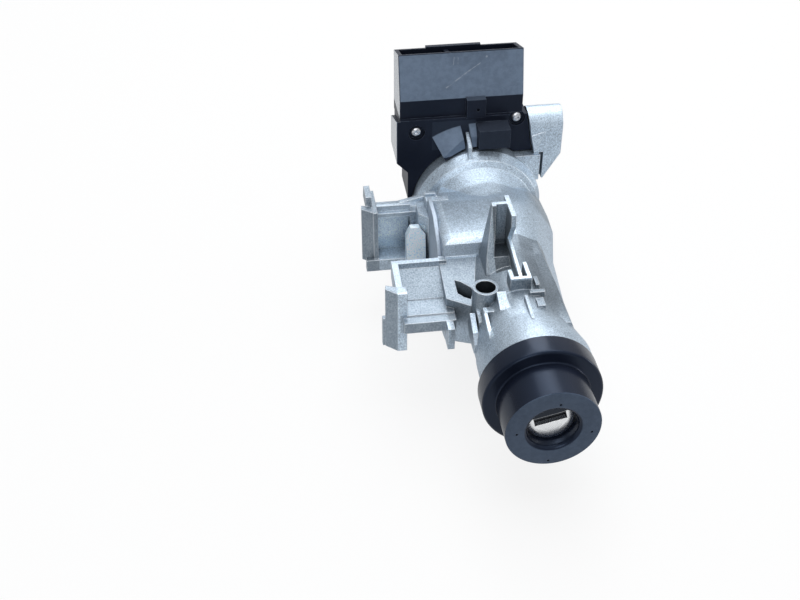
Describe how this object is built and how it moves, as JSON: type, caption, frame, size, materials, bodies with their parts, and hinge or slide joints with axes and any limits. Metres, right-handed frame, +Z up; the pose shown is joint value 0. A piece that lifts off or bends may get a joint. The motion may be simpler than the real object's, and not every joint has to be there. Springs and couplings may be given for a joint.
{
  "type": "steering lock",
  "caption": "Steering column lock: cast body with brackets, black key nose with coil flange, key cylinder, spring-thrown lock bolt, and rear switch with open connector box.",
  "frame": {"origin": "centre of the nose's front face, on the lock axis, where the key goes in", "axes": "+Y back along the lock axis to the switch, -Y out of the nose towards the key, +X right, +Z up, away from the steering column"},
  "size_m": [0.0816, 0.1505, 0.095],
  "materials": {
    "cast_alloy": "as cast, fine grain",
    "collar_plastic": "gloss",
    "black_plastic": "satin",
    "cover_plastic": "satin",
    "board_plastic": "matte",
    "rotor_plastic": "satin",
    "copper_winding": "varnished wire",
    "copper": "polished",
    "wafer_brass": "satin",
    "terminal_metal": "tinned",
    "zinc_sleeve": "satin",
    "plug_metal": "satin",
    "bright_chrome": "bright",
    "zinc_screw": "zinc plated",
    "plate_steel": "pressed",
    "shaft_steel": "turned",
    "bolt_steel": "hardened",
    "flap_steel": "stamped",
    "spring_steel": "drawn"
  },
  "bodies": {
    "housing": {"housing": "cast_alloy", "coil_collar": "collar_plastic", "antenna_coil": "copper_winding", "cylinder_sleeve": "zinc_sleeve", "bolt_cover_plate": "plate_steel", "bolt_spring": "spring_steel", "switch_housing": "black_plastic", "switch_screw_left": "zinc_screw", "switch_screw_right": "zinc_screw", "contact_board": "board_plastic", "terminals": "terminal_metal", "switch_cover": "cover_plastic"},
    "key_rotor": {"key_plug": "plug_metal", "plug_face": "bright_chrome", "wafers": "wafer_brass", "shutter_pin": "spring_steel", "driver_shaft": "shaft_steel", "lock_cam": "bolt_steel", "switch_rotor": "rotor_plastic", "contact_bridges": "copper"},
    "bolt": {"lock_bolt": "bolt_steel"},
    "shutter": {"shutter_flap": "flap_steel"}
  },
  "joints": [
    {"name": "key_turn", "type": "hinge", "parent": "housing", "child": "key_rotor", "pos_m": [0, 0, 0], "axis": [0, 1, 0], "range_deg": [0, 90]},
    {"name": "bolt_slide", "type": "slide", "parent": "housing", "child": "bolt", "axis": [0, 0, 1], "range_m": [0, 0.007], "deforming": ["bolt_spring"]},
    {"name": "shutter_swing", "type": "hinge", "parent": "key_rotor", "child": "shutter", "pos_m": [-0.00081, 0.00605, 0.00325], "axis": [0.9703, 0, 0.2419], "range_deg": [0, 80], "stiffness_Nm_per_rad": 0.0005, "springref_deg": -20.05}
  ],
  "couplings": [
    {"joint": "bolt_slide", "follows": "key_turn", "m_per_rad": 0.0044563}
  ]
}
